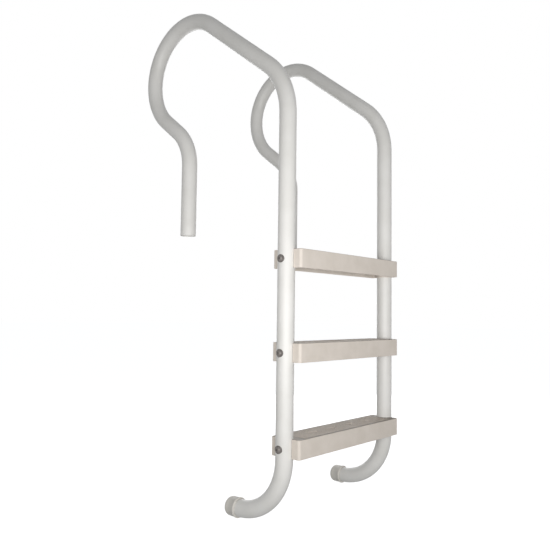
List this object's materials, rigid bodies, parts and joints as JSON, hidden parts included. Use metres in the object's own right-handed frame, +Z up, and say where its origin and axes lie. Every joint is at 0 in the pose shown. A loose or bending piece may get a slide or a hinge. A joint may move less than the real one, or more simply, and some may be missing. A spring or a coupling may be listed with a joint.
{
  "type": "pool ladder",
  "caption": "Deck-mounted pool ladder: bent tube rails that return to the deck as grab arches, hollow moulded treads bolted between them, and capped feet that rest on the pool wall.",
  "frame": {"origin": "deck level, midway between the axes of the two anchor legs", "axes": "+Z up, +Y from the deck towards the water, +X towards the left hand of a swimmer facing the ladder"},
  "size_m": [0.5698, 0.6689, 1.5373],
  "materials": {
    "rail_coating": "satin off-white polymer coat on steel tube",
    "tread_plastic": "fine moulded grain, pale beige",
    "bumper_vinyl": "soft satin vinyl",
    "fastener_steel": "stainless steel, dulled"
  },
  "bodies": {
    "root": {"rail_left": "rail_coating", "bumper_left": "bumper_vinyl", "rail_right": "rail_coating", "bumper_right": "bumper_vinyl", "tread_top": "tread_plastic", "bolt_top_left": "fastener_steel", "washer_top_left": "fastener_steel", "nut_top_left": "fastener_steel", "bolt_top_right": "fastener_steel", "washer_top_right": "fastener_steel", "nut_top_right": "fastener_steel", "tread_middle": "tread_plastic", "bolt_middle_left": "fastener_steel", "washer_middle_left": "fastener_steel", "nut_middle_left": "fastener_steel", "bolt_middle_right": "fastener_steel", "washer_middle_right": "fastener_steel", "nut_middle_right": "fastener_steel", "tread_bottom": "tread_plastic", "bolt_bottom_left": "fastener_steel", "washer_bottom_left": "fastener_steel", "nut_bottom_left": "fastener_steel", "bolt_bottom_right": "fastener_steel", "washer_bottom_right": "fastener_steel", "nut_bottom_right": "fastener_steel"}
  },
  "joints": []
}
